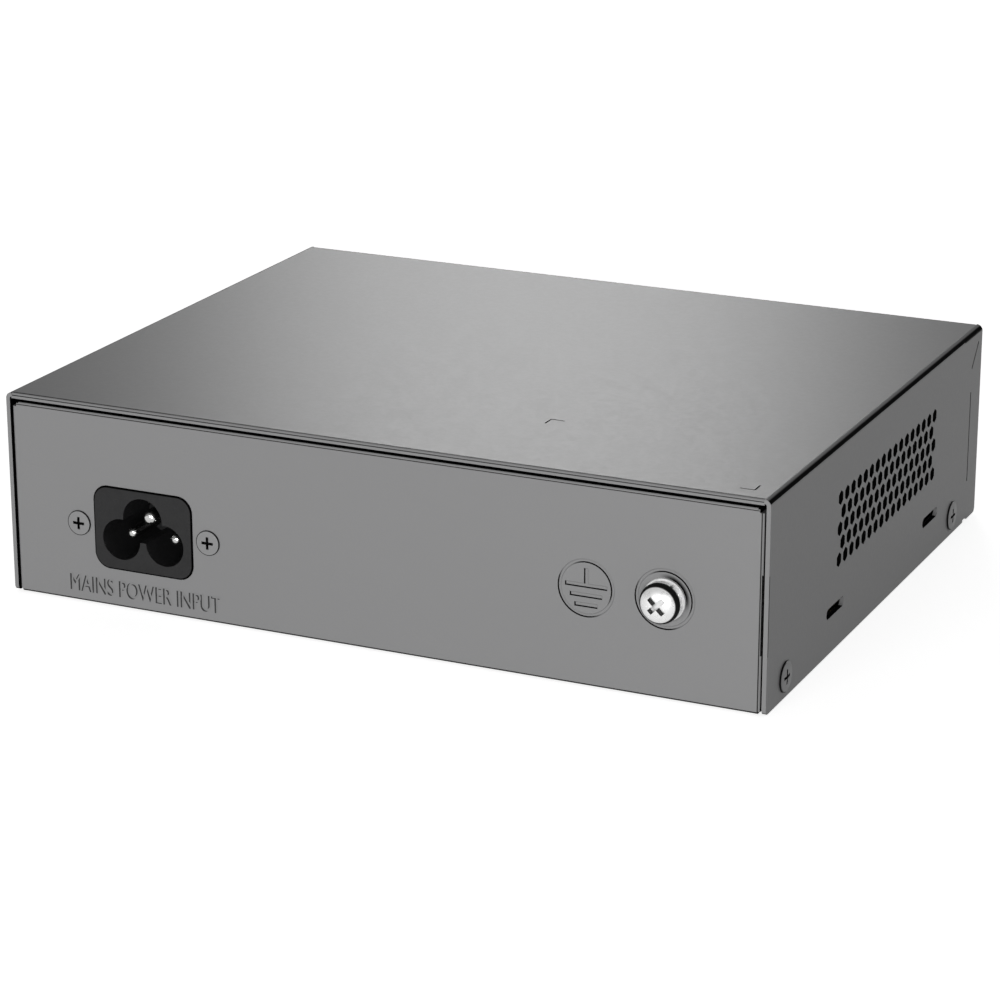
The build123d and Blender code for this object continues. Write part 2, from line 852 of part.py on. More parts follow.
def make_jack_contacts(middle, count):
    """Gilt spring contacts under each port's roof: a flat root, then a slope down to the back."""
    roof = board_top + port_floor + port_h
    y0 = front_y + contact_start
    y1 = y0 + contact_root
    y2 = y0 + contact_len
    low = roof - contact_fall
    outline = Polyline(
        (y0, roof),
        (y1, roof),
        (y2, low),
        (y2, low - contact_t),
        (y1, roof - contact_t),
        (y0, roof - contact_t),
        close=True,
    )
    contact = extrude(Plane.YZ * make_face(outline), amount=contact_t / 2, both=True)
    contacts = []
    for x in port_centres(middle, count):
        for i in range(contact_count):
            offset = (i - (contact_count - 1) / 2) * contact_pitch
            contacts.append(Pos(x + offset, 0, 0) * contact)
    return Compound(children=contacts)


def make_light_guide():
    """Clear guide: a rod from each lamp hole back over the ports and down, joined by a foot bar."""
    rod_r = lamp_d / 2
    foot = board_top + lamp_h + lamp_gap
    places = lamp_places()
    guide = span(
        places[0] - rod_r,
        places[-1] + rod_r,
        front_y + guide_bar_y,
        front_y + guide_bar_y + guide_bar_d,
        jack_top,
        lamp_z,
    )
    for x in places:
        rod_len = lamp_y - front_y + lamp_proud
        rod = Pos(x, lamp_y - rod_len / 2, lamp_z) * Rot(90, 0, 0) * Cylinder(rod_r, rod_len)
        column = Pos(x, lamp_y, (lamp_z + foot) / 2) * Cylinder(rod_r, lamp_z - foot)
        guide += rod + column + Pos(x, lamp_y, lamp_z) * Sphere(rod_r)
    return guide


def make_status_lamps():
    """Surface lamps on the main board, one under each column of the light guide."""
    lamp = Pos(0, 0, lamp_h / 2) * Box(lamp_w, lamp_w, lamp_h)
    return Compound(children=[Pos(x, lamp_y, board_top) * lamp for x in lamp_places()])


def make_package(x, y, width, depth, height, leads, sides=2):
    """Moulded component with leads along its front and back, and along its ends if sides is 4."""
    body = Pos(0, 0, height / 2) * Box(width, depth, height)
    body = chamfer(body.edges().group_by(Axis.Z)[-1], package_chamfer)
    lead_h = min(lead_t, height / 2)
    for turn, along, across in ((0, width, depth), (90, depth, width))[: sides // 2]:
        pitch = along / leads
        reach = across + 2 * lead_reach
        for i in range(leads):
            offset = (i - (leads - 1) / 2) * pitch
            body += Rot(0, 0, turn) * Pos(offset, 0, lead_h / 2) * Box(lead_w, reach, lead_h)
    return Pos(x, y, board_top) * body


def make_switch_heatsink():
    """Finned aluminium block on the switch chip."""
    foot = board_top + switch_chip_h
    half = heatsink_w / 2
    sink = span(-half, half, -half, half, 0, heatsink_base)
    pitch = (heatsink_w - fin_t) / (heatsink_fins - 1)
    for i in range(heatsink_fins):
        x = -half + fin_t / 2 + i * pitch
        sink += span(x - fin_t / 2, x + fin_t / 2, -half, half, heatsink_base, heatsink_h)
    return Pos(uplink_x, chip_row_y, foot) * sink


def make_can_capacitor(x, y, diameter, height):
    """Can capacitor with a crimped groove near its foot and a scored top."""
    radius = diameter / 2
    can = Pos(0, 0, height / 2) * Cylinder(radius, height)
    can = fillet(can.edges().group_by(Axis.Z)[-1], 0.06 * diameter)
    can -= Pos(0, 0, 0.12 * height + can_groove_r) * Torus(radius + can_groove_out, can_groove_r)
    for turn in (0, 90):
        can -= Pos(0, 0, height) * Rot(0, 0, turn) * Box(0.7 * diameter, can_score, can_score)
    return Pos(x, y, board_top) * can


def make_capacitor_pair(x, y, diameter, height):
    """Two like can capacitors side by side along Y."""
    offset = (diameter + capacitor_gap) / 2
    places = (y + offset, y - offset)
    return Compound(children=[make_can_capacitor(x, place, diameter, height) for place in places])


def make_power_inductor():
    """Moulded power inductor on two end pads."""
    body = Pos(0, 0, inductor_h / 2) * Box(inductor_w, inductor_w, inductor_h)
    body = fillet(body.edges().filter_by(Axis.Z), inductor_corner_r)
    pad = Box(2 * inductor_pad, inductor_w * 0.4, inductor_pad_t)
    for side in (1, -1):
        body += Pos(side * inductor_w / 2, 0, inductor_pad_t / 2) * pad
    return Pos(powered_x + inductor_offset, chip_row_y, board_top) * body


def make_clock_crystal():
    """Long rounded crystal can on a wider foot."""
    can = extrude(SlotOverall(crystal_len, crystal_w), amount=crystal_h)
    outline = SlotOverall(crystal_len + 2 * crystal_foot, crystal_w + 2 * crystal_foot)
    foot = extrude(outline, amount=crystal_foot_t)
    return Pos(uplink_x + crystal_offset, chip_row_y, board_top) * Rot(0, 0, 90) * (can + foot)


def psu_column_places():
    """X of each column of the power supply, from the mains end to the output end, evenly spread."""
    widths = {
        "fuse": fuse_d + 2 * fuse_base_rim,
        "filter": x_cap_d,
        "choke": choke_d + 2 * choke_wire,
        "bridge": bridge_d,
        "bulk": bulk_cap_d,
        "primary": sink_t + device_t,
        "transformer": transformer_w,
        "secondary": sink_t + device_t,
        "output": output_cap_d,
        "socket": socket_w,
    }
    room = 2 * (board_half_w - 2 * hole_margin)
    gap = (room - sum(widths.values())) / (len(widths) - 1)
    places = {}
    x = room / 2
    for name, width in widths.items():
        places[name] = x - width / 2
        x -= width + gap
    return places


def make_fuse_holder():
    """Base with two sprung clips under the fuse."""
    half = fuse_len / 2
    base_half = fuse_d / 2 + fuse_base_rim
    holder = span(-base_half, base_half, -half, half, 0, fuse_base_t)
    clip = Box(fuse_d + 2 * fuse_clip_t, fuse_clip_w, fuse_d)
    for side in (1, -1):
        holder += Pos(0, side * (half - fuse_clip_w / 2), fuse_d / 2) * clip
    bore = Pos(0, 0, fuse_lift + fuse_d / 2) * Rot(90, 0, 0) * Cylinder(fuse_d / 2, 2 * fuse_len)
    return Pos(psu_column_places()["fuse"], psu_mid_y, board_top) * (holder - bore)


def make_mains_fuse():
    """Glass fuse with metal end caps, lying in its clips."""
    fuse = Cylinder(fuse_d / 2 - fuse_glass_inset, fuse_len)
    for side in (1, -1):
        fuse += Pos(0, 0, side * (fuse_len - fuse_clip_w) / 2) * Cylinder(fuse_d / 2, fuse_clip_w)
    place = Pos(psu_column_places()["fuse"], psu_mid_y, board_top + fuse_lift + fuse_d / 2)
    return place * Rot(90, 0, 0) * fuse


def make_box_capacitor():
    """Suppression capacitor: a plastic box with rounded edges."""
    box = Pos(0, 0, x_cap_h / 2) * Box(x_cap_d, x_cap_w, x_cap_h)
    box = fillet(box.edges().group_by(Axis.Z)[-1], x_cap_edge_r)
    return Pos(psu_column_places()["filter"], psu_mid_y, board_top) * box


def make_line_choke():
    """Ring core lying on the board, with two groups of wire turns."""
    ring = Cylinder(choke_d / 2, choke_h) - Cylinder(choke_bore / 2, 2 * choke_h)
    middle_r = (choke_d + choke_bore) / 4
    turn_len = (choke_d - choke_bore) / 2 + 2 * choke_wire
    turn_h = choke_h + 2 * choke_wire
    for side in (0, 180):
        for i in range(choke_turns):
            angle = side + (i - (choke_turns - 1) / 2) * choke_turn_angle
            ring += Rot(0, 0, angle) * Pos(middle_r, 0, 0) * Box(turn_len, choke_wire, turn_h)
    return Pos(psu_column_places()["choke"], psu_mid_y, board_top + turn_h / 2) * ring


def make_bridge_rectifier():
    """Flat bridge rectifier on its edge, with one corner cut off."""
    body = Pos(0, 0, bridge_h / 2) * Box(bridge_d, bridge_w, bridge_h)
    corner = body.edges().filter_by(Axis.X).group_by(Axis.Z)[-1].sort_by(Axis.Y)[-1]
    return Pos(psu_column_places()["bridge"], psu_mid_y, board_top) * chamfer(corner, bridge_corner)


def make_plate_heatsink(column):
    """Upright aluminium plate that stands on the board."""
    plate = Pos(device_t / 2, 0, sink_h / 2) * Box(sink_t, sink_len, sink_h)
    return Pos(psu_column_places()[column], psu_mid_y, board_top) * plate


def make_power_device(column):
    """Power semiconductor against its plate: moulded body, metal tab and three legs."""
    x = device_t / 2 - sink_t / 2
    half = device_w / 2
    body = span(x - device_t, x, -half, half, device_leg, device_leg + device_h * device_body_share)
    tab = span(x - device_tab_t, x, -half, half, device_leg, device_leg + device_h)
    device = body + tab
    leg = Box(device_leg_t, device_leg_w, device_leg)
    for i in (-1, 0, 1):
        device += Pos(x - device_t / 2, i * device_leg_pitch, device_leg / 2) * leg
    return Pos(psu_column_places()[column], psu_mid_y, board_top) * device


def make_transformer_core():
    """Ferrite core: two outer legs and a middle leg between two yokes."""
    core_h = transformer_h - transformer_foot
    core = Pos(0, 0, core_h / 2) * Box(transformer_w, core_depth, core_h)
    window_w = (transformer_w - 2 * core_leg - core_middle) / 2
    for side in (1, -1):
        x = side * (core_middle + window_w) / 2
        core -= Pos(x, 0, core_h / 2) * Box(window_w, 2 * core_depth, core_h - 2 * core_leg)
    return upright_core() * core


def upright_core():
    """Place of the transformer's core, above the winding's foot."""
    return Pos(psu_column_places()["transformer"], psu_mid_y, board_top + transformer_foot)


def make_transformer_winding():
    """Winding round the middle leg, with cheeks that stand on the board."""
    core_h = transformer_h - transformer_foot
    window_w = (transformer_w - 2 * core_leg - core_middle) / 2
    winding_w = core_middle + 2 * (window_w - winding_gap)
    winding_h = core_h - 2 * core_leg - 2 * winding_gap
    winding = Pos(0, 0, core_h / 2) * Box(winding_w, transformer_d, winding_h)
    winding = fillet(winding.edges().filter_by(Axis.Z), winding_corner_r)
    cheek_d = (transformer_d - core_depth) / 2 - winding_gap
    for side in (1, -1):
        y = side * (transformer_d - cheek_d) / 2
        low = -transformer_foot
        high = core_h / 2
        winding += Pos(0, y, (low + high) / 2) * Box(winding_w, cheek_d, high - low)
    hole = Box(core_middle + 2 * winding_gap, core_depth + 2 * winding_gap, core_h)
    winding -= Pos(0, 0, core_h / 2) * hole
    return upright_core() * winding


def make_socket(x, y):
    """Two-way socket with an open top."""
    body = Pos(0, 0, socket_h / 2) * Box(socket_w, socket_d, socket_h)
    for side in (1, -1):
        mouth = Box(socket_mouth, socket_mouth, 2 * socket_mouth_h)
        body -= Pos(side * wire_pitch / 2, 0, socket_h) * mouth
    return Pos(x, y, board_top) * body


def socket_places():
    """Places of the supply's output socket and of the main board's input socket."""
    x = psu_column_places()["socket"]
    return (x, psu_mid_y), (x, main_back_y - 2 * hole_margin - socket_d / 2)


def make_output_wire(side):
    """One wire of the pair between the two sockets, bent up, over and down."""
    (x, y0), (_, y1) = socket_places()
    low = board_top + socket_h - socket_mouth_h
    high = low + output_wire_rise
    lane = x + side * wire_pitch / 2
    points = [(lane, y0, low), (lane, y0, high), (lane, y1, high), (lane, y1, low)]
    return bent_tube(points, wire_d)


def make_mains_wire(pin):
    """Wire from a mains pin's tail down to the power supply board."""
    x, z = inlet_pins()[pin][:2]
    tail_y = rear_y - inlet_depth - pin_tail
    wire_z = z - (pin_tail_t + wire_d) / 2
    drop_y = tail_y - mains_wire_drop
    points = [(x, tail_y + mains_wire_lap, wire_z), (x, drop_y, wire_z), (x, drop_y, board_top)]
    return bent_tube(points, wire_d)


def make_earth_wire():
    """Earth wire from the ring terminal's barrel, behind the power supply, to the inlet's earth pin."""
    pin_x, pin_z = inlet_pins()[2][:2]
    tail_y = rear_y - inlet_depth - pin_tail
    wire_z = pin_z + (pin_tail_t + earth_wire_d) / 2
    lane_y = rear_y - earth_wire_from_rear
    points = [
        (earth_x + terminal_w + 1.0, barrel_y, earth_z),
        (earth_x + 26.0, barrel_y, earth_z),
        (earth_x / 3, lane_y, board_top),
        (inlet_x - 24.0, lane_y - 3.0, board_top + 1.5),
        (inlet_x - 10.0, tail_y + 1.0, pin_z + 5.0),
        (pin_x, tail_y - 1.5, wire_z),
        (pin_x, tail_y + mains_wire_lap, wire_z),
    ]
    return bent_tube(points, earth_wire_d)


def make_earth_terminal():
    """Ring terminal behind the panel, with a crimped barrel that holds the earth wire."""
    eye = Circle(terminal_w / 2) + Pos(-terminal_w / 2, 0) * Rectangle(terminal_w, terminal_w / 2)
    eye -= Circle(earth_screw_d / 2 + screw_gap)
    plate = extrude(on_rear(earth_x, earth_z, sheet_t) * eye, amount=-terminal_t)
    ring = Circle(barrel_r) - Circle(earth_wire_d / 2)
    place = Location(Plane(origin=(earth_x + terminal_w, barrel_y, earth_z), z_dir=(1, 0, 0)))
    return plate + extrude(place * ring, amount=terminal_barrel)


def make_parts():
    """Every piece by name."""
    columns = psu_column_places()
    rail_cap_x = columns["socket"] + (socket_w + rail_cap_d) / 2 + rail_cap_gap
    parts = {
        "top_cover": make_top_cover(),
        "base_tray": make_base_tray(),
        "cover_screws": make_cover_screws(),
        "ac_inlet_body": make_ac_inlet_body(),
        "inlet_screws": make_inlet_screws(),
        "inlet_nuts": make_inlet_nuts(),
        "earth_screw": make_earth_screw(),
        "earth_washer": make_earth_washer(),
        "earth_lock_washer": make_earth_lock_washer(),
        "earth_terminal": make_earth_terminal(),
        "earth_nut": make_earth_nut(),
        "earth_wire": make_earth_wire(),
        "main_board": make_board(main_front_y, main_back_y),
        "psu_board": make_board(psu_front_y, psu_back_y),
        "board_standoffs": make_board_standoffs(),
        "board_screws": make_board_screws(),
        "insulating_sheet": make_insulating_sheet(),
        "light_guide": make_light_guide(),
        "status_lamps": make_status_lamps(),
        "switch_heatsink": make_switch_heatsink(),
        "power_inductor": make_power_inductor(),
        "clock_crystal": make_clock_crystal(),
        "fuse_holder": make_fuse_holder(),
        "mains_fuse": make_mains_fuse(),
        "filter_capacitor": make_box_capacitor(),
        "line_choke": make_line_choke(),
        "bridge_rectifier": make_bridge_rectifier(),
        "bulk_capacitor": make_can_capacitor(columns["bulk"], psu_mid_y, bulk_cap_d, bulk_cap_h),
        "rail_capacitors": make_capacitor_pair(rail_cap_x, rail_cap_y, rail_cap_d, rail_cap_h),
        "output_capacitors": make_capacitor_pair(columns["output"], psu_mid_y, output_cap_d, output_cap_h),
        "transformer_core": make_transformer_core(),
        "transformer_winding": make_transformer_winding(),
    }
    for pin, name in enumerate(("live", "neutral", "earth")):
        parts["inlet_pin_" + name] = make_inlet_pin(*inlet_pins()[pin])
    for pin, name in enumerate(("live", "neutral")):
        parts["mains_wire_" + name] = make_mains_wire(pin)
    for name, middle, count in (
        ("powered", powered_x, powered_ports),
        ("uplink", uplink_x, uplink_ports),
    ):
        parts[name + "_jack_housing"] = make_jack_housing(middle, count)
        parts[name + "_jack_shield"] = make_jack_shield(middle, count)
        parts[name + "_jack_contacts"] = make_jack_contacts(middle, count)
    for i, x in enumerate(lamp_places()[:-1]):
        package = make_package(x, magnetics_y, magnetics_w, magnetics_d, magnetics_h, magnetics_leads)
        parts["port_magnetics_" + str(i + 1)] = package
    for name, x, size, height, leads, sides in (
        ("switch_chip", uplink_x, switch_chip_w, switch_chip_h, 16, 4),
        ("power_controller", powered_x, controller_w, controller_h, 12, 4),
        ("memory_chip", uplink_x - memory_offset, memory_w, memory_h, 4, 2),
    ):
        parts[name] = make_package(x, chip_row_y, size, size, height, leads, sides)
    for side, name in ((1, "positive"), (-1, "negative")):
        parts["output_wire_" + name] = make_output_wire(side)
    for name, device in (("primary", "power_transistor"), ("secondary", "output_rectifier")):
        parts[name + "_heatsink"] = make_plate_heatsink(name)
        parts[device] = make_power_device(name)
    for name, (x, y) in zip(("output_socket", "input_socket"), socket_places()):
        parts[name] = make_socket(x, y)
    return parts


for node, shape in make_parts().items():
    export_step(shape, "parts/" + node + ".step")
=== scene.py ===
"""Power over ethernet switch in a folded steel case: finishes, lettering, floor, lights and camera."""
import math

import bpy
import numpy as np
from mathutils import Matrix, Vector


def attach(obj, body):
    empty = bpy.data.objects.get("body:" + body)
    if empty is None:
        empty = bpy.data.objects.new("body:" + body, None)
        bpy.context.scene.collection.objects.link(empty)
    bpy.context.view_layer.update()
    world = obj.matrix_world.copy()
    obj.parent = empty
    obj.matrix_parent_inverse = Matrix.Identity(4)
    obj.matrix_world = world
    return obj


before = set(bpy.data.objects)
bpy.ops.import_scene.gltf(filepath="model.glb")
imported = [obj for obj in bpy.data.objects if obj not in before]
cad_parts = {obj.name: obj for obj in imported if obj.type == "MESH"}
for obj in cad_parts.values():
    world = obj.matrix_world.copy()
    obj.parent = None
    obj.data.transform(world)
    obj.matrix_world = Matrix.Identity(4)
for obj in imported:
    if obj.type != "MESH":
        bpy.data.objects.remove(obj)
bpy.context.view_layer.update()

MM = 0.001

# The case's own sizes and places, in millimetres, that the finishes and the lettering follow.
CASE_TOP = 40.0
SIDE_X = 77.3
COVER_END_Y = 61.55
TRAY_TOP = 38.25
TRAY_SIDE_X = 76.15
REAR_PANEL_Y = 61.35
FRONT_PANEL_Y = -61.35
BEND = 0.5
INLET = (48.2, 15.85)
INLET_FACE = (10.525, 8.125)
INLET_CORNER = 3.0
INLET_SCREW_REACH = 14.0
COVER_SCREW_Y = (51.96, -45.28)
COVER_SCREW_Z = 4.1
EARTH = (-57.85, 18.87)

# Limits of the painted shade, in millimetres, a little past the sheet, holes and pressed lines that it
# covers.
WALL = 0.9
SKIN = 0.02
PRESSED = 0.23
SIDE_BEND_REACH = 1.8
SIDE_BEND_DROP = 2.2
LIP_INSET = 1.3
COVER_INSIDE_X = 75.0
COVER_INSIDE_DROP = 3.5
VENT_Z = (14.0, 33.0)
VENT_Y = 40.0
SLOT_Z = (6.9, 9.6)
NOTCH_REACH = 1.3
NOTCH_Y = 55.5
NOTCH_FOOT = 0.55
TOP_MARKS_X = 74.0
TOP_MARKS_Y = 60.0
SIDE_LINES_Y = -50.0
SIDE_LINES_Z = 8.0
SYMBOL_Z = (11.0, 26.0)
INLET_HOLE = (11.2, 8.8)
INLET_LINE = 0.16
INLET_SCREW_RIM = 2.32
COVER_SCREW_RIM = 2.68
EARTH_SHADOW = (4.2, 5.0)
EARTH_RIM = (3.2, 3.4)
EARTH_RECESS = 3.0

# The upright part of a side bend's normal where its band of painted dark reflection starts, and where the
# band ends.
BAND_START = (0.76, 0.96)
BAND_END = (0.3, 0.36)

# Colours that several finishes share; NEAR_BLACK and DULL are the colour and reflection tint of painted
# shade.
NEAR_BLACK = (0.003, 0.003, 0.003)
DULL = (0.05, 0.05, 0.05)
EVEN = (1.0, 1.0, 1.0)


# Finishes. Every pattern reads object coordinates in millimetres.

class Finish:
    """One finish: a Principled shader and the nodes that feed it."""

    def __init__(self, name, colour, roughness, metallic=0.0):
        self.material = bpy.data.materials.new(name)
        self.material.use_nodes = True
        self.tree = self.material.node_tree
        self.shader = self.tree.nodes["Principled BSDF"]
        self.shader.inputs["Base Color"].default_value = (*colour, 1.0)
        self.shader.inputs["Roughness"].default_value = roughness
        self.shader.inputs["Metallic"].default_value = metallic
        self.colour = colour
        place = self.node("ShaderNodeTexCoord")
        scaled = self.node("ShaderNodeVectorMath", operation="SCALE")
        self.join(place.outputs["Object"], scaled.inputs[0])
        scaled.inputs["Scale"].default_value = 1.0 / MM
        self.point = scaled.outputs[0]

    def node(self, kind, **settings):
        made = self.tree.nodes.new(kind)
        for key, value in settings.items():
            setattr(made, key, value)
        return made

    def join(self, source, target):
        self.tree.links.new(source, target)

    def put(self, value, socket):
        """Set a number, or join a node's output."""
        if isinstance(value, (int, float)):
            socket.default_value = value
        else:
            self.join(value, socket)

    def math(self, operation, first, second=0.0):
        step = self.node("ShaderNodeMath", operation=operation)
        self.put(first, step.inputs[0])
        self.put(second, step.inputs[1])
        return step.outputs[0]

    def ramp(self, value, low, high, first=0.0, last=1.0):
        """A smooth step: first below low, last above high."""
        step = self.node("ShaderNodeMapRange", interpolation_type="SMOOTHSTEP")
        self.put(value, step.inputs["Value"])
        step.inputs["From Min"].default_value = low
        step.inputs["From Max"].default_value = high
        step.inputs["To Min"].default_value = first
        step.inputs["To Max"].default_value = last
        return step.outputs["Result"]

    def stretched(self, along):
        """The point with each axis scaled, for brushed or combed patterns."""
        step = self.node("ShaderNodeVectorMath", operation="MULTIPLY")
        self.join(self.point, step.inputs[0])
        step.inputs[1].default_value = along
        return step.outputs[0]

    def grain(self, size, low=0.0, high=1.0, detail=2.0, point=None):
        """Soft noise whose lumps are about size millimetres, from low to high."""
        noise = self.node("ShaderNodeTexNoise")
        self.join(point or self.point, noise.inputs["Vector"])
        noise.inputs["Scale"].default_value = 1.0 / size
        noise.inputs["Detail"].default_value = detail
        return self.ramp(noise.outputs["Fac"], 0.3, 0.7, low, high)

    def axes(self):
        split = self.node("ShaderNodeSeparateXYZ")
        self.join(self.point, split.inputs[0])
        return split.outputs

    def facing(self):
        """The three parts of the surface's direction."""
        geometry = self.node("ShaderNodeNewGeometry")
        split = self.node("ShaderNodeSeparateXYZ")
        self.join(geometry.outputs["Normal"], split.inputs[0])
        return split.outputs

    def unsigned(self, value):
        return self.math("ABSOLUTE", value)

    def minus(self, value, other):
        return self.math("SUBTRACT", value, other)

    def over(self, value, limit):
        """1 where value is above limit."""
        return self.math("GREATER_THAN", value, limit)

    def under(self, value, limit):
        """1 where value is below limit."""
        return self.math("LESS_THAN", value, limit)

    def band(self, value, low, high):
        """1 where value lies from low to high."""
        return self.math("MULTIPLY", self.over(value, low), self.under(value, high))

    def near(self, value, place, reach):
        """1 where value lies within reach of place."""
        return self.band(value, place - reach, place + reach)

    def any_of(self, *masks):
        """1 where any mask is 1."""
        union = masks[0]
        for mask in masks[1:]:
            union = self.math("MAXIMUM", union, mask)
        return union

    def all_of(self, *masks):
        """1 where every mask is 1."""
        product = masks[0]
        for mask in masks[1:]:
            product = self.math("MULTIPLY", product, mask)
        return product

    def distance(self, first, second):
        """Length of a flat vector from its two parts."""
        squares = [self.math("POWER", part, 2.0) for part in (first, second)]
        return self.math("SQRT", self.math("ADD", *squares))

    def shade(self, colour, factor, channel="Base Color"):
        """Mix a colour over what the finish has so far."""
        mix = self.node("ShaderNodeMix", data_type="RGBA")
        base = self.shader.inputs[channel]
        if base.is_linked:
            self.join(base.links[0].from_socket, mix.inputs[6])
        else:
            mix.inputs[6].default_value = base.default_value
        mix.inputs[7].default_value = (*colour, 1.0)
        self.put(factor, mix.inputs[0])
        self.join(mix.outputs[2], base)

    def mottle(self, size, amount, detail=2.0, point=None):
        """Darken the colour by up to amount, in lumps of the size given."""
        darker = tuple(c * (1.0 - amount) for c in self.colour)
        self.shade(darker, self.grain(size, 0.0, 1.0, detail, point))

    def blacken(self, factor):
        """Paint shade: take both the colour and the reflection towards black."""
        self.shade(NEAR_BLACK, factor)
        self.shade(NEAR_BLACK, factor, "Specular Tint")

    def rough(self, value):
        self.join(value, self.shader.inputs["Roughness"])

    def glossy(self, level):
        """Set how strongly the surface reflects."""
        self.shader.inputs["Specular IOR Level"].default_value = level

    def bump(self, height, depth):
        """Raise the surface by depth millimetres where height is 1."""
        step = self.node("ShaderNodeBump")
        step.inputs["Distance"].default_value = depth * MM
        self.join(height, step.inputs["Height"])
        last = self.shader.inputs["Normal"]
        if last.is_linked:
            self.join(last.links[0].from_socket, step.inputs["Normal"])
        self.join(step.outputs["Normal"], last)


def grey_paint():
    """Satin powder coat on folded sheet, with fine orange peel and a faint speckle.

    Painted shade: holes, gaps, hidden faces and pressed lines fall to black, the steep half of each side
    bend carries a painted black band for a dark reflection, and each fold has a thin painted dark crease.
    """
    paint = Finish("grey_powder_coat", (0.225, 0.225, 0.227), 0.4)
    paint.glossy(0.25)
    paint.mottle(0.28, 0.03, 3.0)
    paint.mottle(26.0, 0.02)
    paint.bump(paint.grain(0.55), 0.0022)
    # Painted shade: thin dark lines along the folds.
    paint.shade((0.012, 0.012, 0.012), creases(paint))
    # Painted shade, and a painted dark reflection on the side bends: these areas go to black and turn fully
    # rough.
    dark = paint.any_of(side_bends(paint), hole_walls(paint), hidden_faces(paint), pressed_walls(paint))
    paint.rough(paint.any_of(paint.grain(0.9, 0.386, 0.418), dark))
    paint.blacken(dark)
    paint.blacken(earth_shadow(paint))
    return paint.material


def side_bends(paint):
    """Painted dark reflection on the long bends between the top and the sides, from their start down to
    where they face sideways.
    """
    x, y, z = paint.axes()
    nx, ny, nz = paint.facing()
    outward = paint.math("MULTIPLY", nx, paint.math("SIGN", x))
    return paint.all_of(paint.ramp(nz, *BAND_START, 1.0, 0.0), paint.ramp(nz, *BAND_END),
                        paint.over(outward, 0.02), paint.over(paint.unsigned(x), SIDE_X - SIDE_BEND_REACH),
                        paint.over(z, CASE_TOP - SIDE_BEND_DROP))


def hole_walls(paint):
    """Painted shade on the walls of the vents, the slots and the inlet's opening, and of the notches at the
    tray's corners.
    """
    x, y, z = paint.axes()
    nx, ny, nz = paint.facing()
    reach = paint.unsigned(x)
    depth = paint.unsigned(y)
    in_side = paint.all_of(paint.under(paint.unsigned(nx), 0.3), paint.under(depth, VENT_Y),
                           paint.band(reach, SIDE_X - WALL, SIDE_X - SKIN))
    vent = paint.band(z, *VENT_Z)
    slot = paint.all_of(paint.band(z, *SLOT_Z), paint.under(ny, 0.3))
    inlet = paint.all_of(paint.under(paint.unsigned(ny), 0.5), paint.near(x, INLET[0], INLET_HOLE[0]),
                         paint.near(z, INLET[1], INLET_HOLE[1]),
                         paint.band(y, REAR_PANEL_Y - WALL, REAR_PANEL_Y - 0.01))
    high_or_low = paint.any_of(paint.near(z, TRAY_TOP, WALL), paint.under(z, NOTCH_FOOT))
    notch = paint.all_of(paint.band(reach, TRAY_SIDE_X - NOTCH_REACH, TRAY_SIDE_X + 0.05), high_or_low,
                         paint.under(paint.unsigned(ny), 0.9), paint.over(depth, NOTCH_Y))
    return paint.any_of(paint.all_of(in_side, paint.any_of(vent, slot)), inlet, notch)


def hidden_faces(paint):
    """Painted shade on the cover's inner faces and on the tray faces that the cover hides."""
    x, y, z = paint.axes()
    nx, ny, nz = paint.facing()
    reach = paint.unsigned(x)
    outward = paint.math("MULTIPLY", nx, paint.math("SIGN", x))
    inner_side = paint.all_of(paint.under(outward, -0.5), paint.over(reach, COVER_INSIDE_X))
    inner_top = paint.all_of(paint.under(nz, -0.5), paint.over(z, CASE_TOP - COVER_INSIDE_DROP))
    flange_side = paint.all_of(paint.over(outward, 0.85), paint.near(reach, TRAY_SIDE_X, 0.2))
    flange_top = paint.all_of(paint.over(nz, 0.85), paint.near(z, TRAY_TOP, 0.2))
    return paint.any_of(inner_side, inner_top, flange_side, flange_top)


def pressed_walls(paint):
    """Painted shade in pressed lines: the rear panel's walls that face up and left, and the fine lines of
    top and sides.
    """
    x, y, z = paint.axes()
    nx, ny, nz = paint.facing()
    reach = paint.unsigned(x)
    lit_away = paint.ramp(paint.minus(nz, nx), 0.1, 0.6)
    rear = paint.all_of(paint.band(y, REAR_PANEL_Y - PRESSED, REAR_PANEL_Y - 0.005),
                        paint.band(ny, -0.5, 0.9), paint.band(z, *SYMBOL_Z), lit_away)
    top = paint.all_of(paint.band(z, CASE_TOP - PRESSED, CASE_TOP - SKIN),
                       paint.under(reach, TOP_MARKS_X), paint.under(paint.unsigned(y), TOP_MARKS_Y),
                       paint.ramp(paint.unsigned(nx), 0.2, 0.8, 0.45, 1.0))
    side = paint.all_of(paint.band(reach, SIDE_X - PRESSED, SIDE_X - SKIN),
                        paint.under(y, SIDE_LINES_Y), paint.over(z, SIDE_LINES_Z))
    return paint.any_of(rear, top, paint.math("MULTIPLY", side, 0.8))


